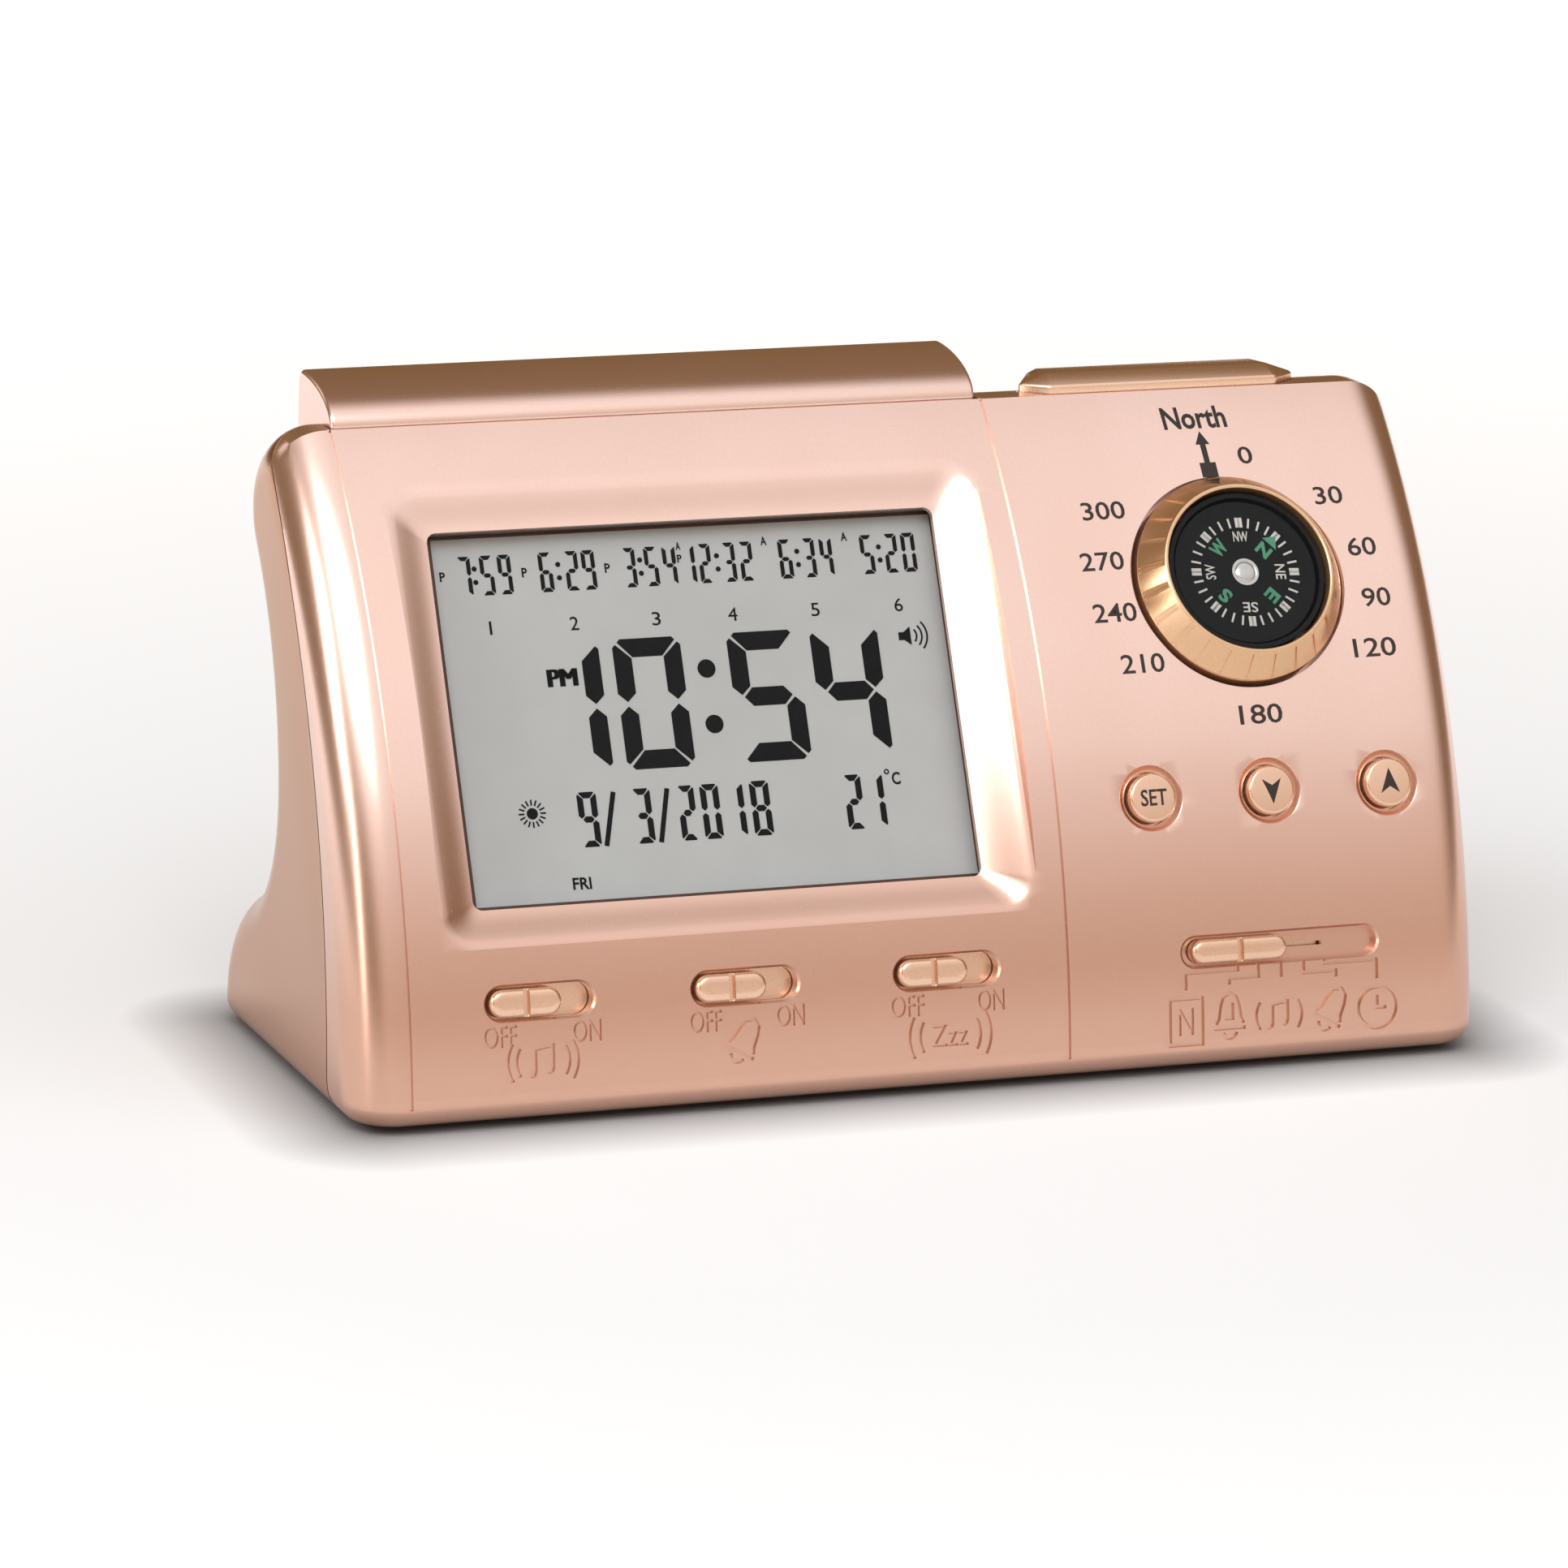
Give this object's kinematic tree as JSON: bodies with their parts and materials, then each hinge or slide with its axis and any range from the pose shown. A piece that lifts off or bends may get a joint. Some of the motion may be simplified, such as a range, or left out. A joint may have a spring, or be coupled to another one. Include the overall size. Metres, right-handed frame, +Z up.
{
  "type": "desk alarm clock with display and compass",
  "caption": "Wedge-shaped desk clock with a leaning panel, a large display in a sloped recess, a turning-bezel compass, slide switches and a snooze bar that tells and sounds set times",
  "frame": {"origin": "Middle of the clock's outline on the table, level with the undersides of the feet", "axes": "+X along the front towards the compass side, +Y from the front panel to the back wall, +Z up"},
  "size_m": [0.15, 0.06, 0.085],
  "materials": {
    "case_paint": "satin champagne-rose metallic paint on moulded plastic",
    "key_paint": "satin champagne-rose metallic paint, slightly lighter",
    "bezel_gold": "smooth gold-toned metallic paint",
    "clear_plastic": "clear polished acrylic",
    "lcd_panel": "gray reflective display glass with dark segments",
    "white_plastic": "moulded white plastic",
    "black_plastic": "moulded black plastic",
    "circuit_board": "green solder mask over glass laminate",
    "bright_steel": "plated steel",
    "brass": "turned brass",
    "rubber": "dark soft rubber",
    "cone_paper": "dark pressed paper cone",
    "battery_wrap": "plain printed film wrap"
  },
  "bodies": {
    "case": {"front_housing": "case_paint", "rear_cover": "case_paint", "screen_lens": "clear_plastic", "lcd_glass": "lcd_panel", "lcd_backlight": "white_plastic", "lcd_frame": "white_plastic", "zebra_strip": "rubber", "main_board": "circuit_board", "clock_chip": "black_plastic", "quartz_crystal": "bright_steel", "compass_cup": "black_plastic", "compass_pin": "brass", "compass_dome": "clear_plastic", "set_switch": "black_plastic", "down_switch": "black_plastic", "up_switch": "black_plastic", "key_board": "circuit_board", "chime_slide_switch": "bright_steel", "alarm_slide_switch": "bright_steel", "snooze_slide_switch": "bright_steel", "mode_switch": "bright_steel", "slide_board": "circuit_board", "bar_spring_left": "bright_steel", "bar_spring_right": "bright_steel", "top_board": "circuit_board", "bar_switch": "black_plastic", "top_key_switch": "black_plastic", "speaker_frame": "bright_steel", "speaker_cone": "cone_paper", "speaker_magnet": "bright_steel", "battery_1": "battery_wrap", "minus_spring_1": "bright_steel", "plus_contact_1": "bright_steel", "battery_2": "battery_wrap", "minus_spring_2": "bright_steel", "plus_contact_2": "bright_steel", "case_screw_1": "bright_steel", "case_screw_2": "bright_steel", "case_screw_3": "bright_steel", "case_screw_4": "bright_steel", "foot_1": "rubber", "foot_2": "rubber", "foot_3": "rubber", "foot_4": "rubber"},
    "snooze_bar_body": {"snooze_bar": "case_paint"},
    "top_key_body": {"top_key": "key_paint"},
    "set_button_body": {"set_button": "key_paint"},
    "down_button_body": {"down_button": "key_paint"},
    "up_button_body": {"up_button": "key_paint"},
    "chime_knob_body": {"chime_knob": "key_paint"},
    "alarm_knob_body": {"alarm_knob": "key_paint"},
    "snooze_knob_body": {"snooze_knob": "key_paint"},
    "mode_knob_body": {"mode_knob": "key_paint"},
    "compass_ring_body": {"compass_ring": "bezel_gold"},
    "compass_card_body": {"compass_card": "black_plastic"},
    "battery_door_body": {"battery_door": "case_paint"}
  },
  "joints": [
    {"name": "snooze_press", "type": "slide", "parent": "case", "child": "snooze_bar_body", "axis": [0, 0, -1], "range_m": [0, 0.0012], "stiffness_N_per_m": 900, "springref_m": -0.0006, "deforming": ["bar_spring_left", "bar_spring_right"]},
    {"name": "top_key_press", "type": "slide", "parent": "case", "child": "top_key_body", "axis": [0, 0, -1], "range_m": [0, 0.001], "stiffness_N_per_m": 500, "springref_m": -0.0005},
    {"name": "set_press", "type": "slide", "parent": "case", "child": "set_button_body", "axis": [0, 0.9377, -0.3475], "range_m": [0, 0.0008], "stiffness_N_per_m": 500, "springref_m": -0.0004},
    {"name": "down_press", "type": "slide", "parent": "case", "child": "down_button_body", "axis": [0, 0.9377, -0.3475], "range_m": [0, 0.0008], "stiffness_N_per_m": 500, "springref_m": -0.0004},
    {"name": "up_press", "type": "slide", "parent": "case", "child": "up_button_body", "axis": [0, 0.9377, -0.3475], "range_m": [0, 0.0008], "stiffness_N_per_m": 500, "springref_m": -0.0004},
    {"name": "chime_slide", "type": "slide", "parent": "case", "child": "chime_knob_body", "axis": [1, 0, 0], "range_m": [0, 0.004]},
    {"name": "alarm_slide", "type": "slide", "parent": "case", "child": "alarm_knob_body", "axis": [1, 0, 0], "range_m": [0, 0.004]},
    {"name": "snooze_slide", "type": "slide", "parent": "case", "child": "snooze_knob_body", "axis": [1, 0, 0], "range_m": [0, 0.004]},
    {"name": "mode_slide", "type": "slide", "parent": "case", "child": "mode_knob_body", "axis": [1, 0, 0], "range_m": [0, 0.0115]},
    {"name": "door_slide", "type": "slide", "parent": "case", "child": "battery_door_body", "axis": [0, 1, 0], "range_m": [0, 0.03]},
    {"name": "bezel_turn", "type": "hinge", "parent": "case", "child": "compass_ring_body", "pos_m": [0.04675, -0.01059, 0.0589], "axis": [0, -0.8382, 0.5453], "continuous": true},
    {"name": "card_turn", "type": "hinge", "parent": "case", "child": "compass_card_body", "pos_m": [0.04675, -0.01059, 0.0589], "axis": [0, -0.8382, 0.5453], "continuous": true}
  ]
}
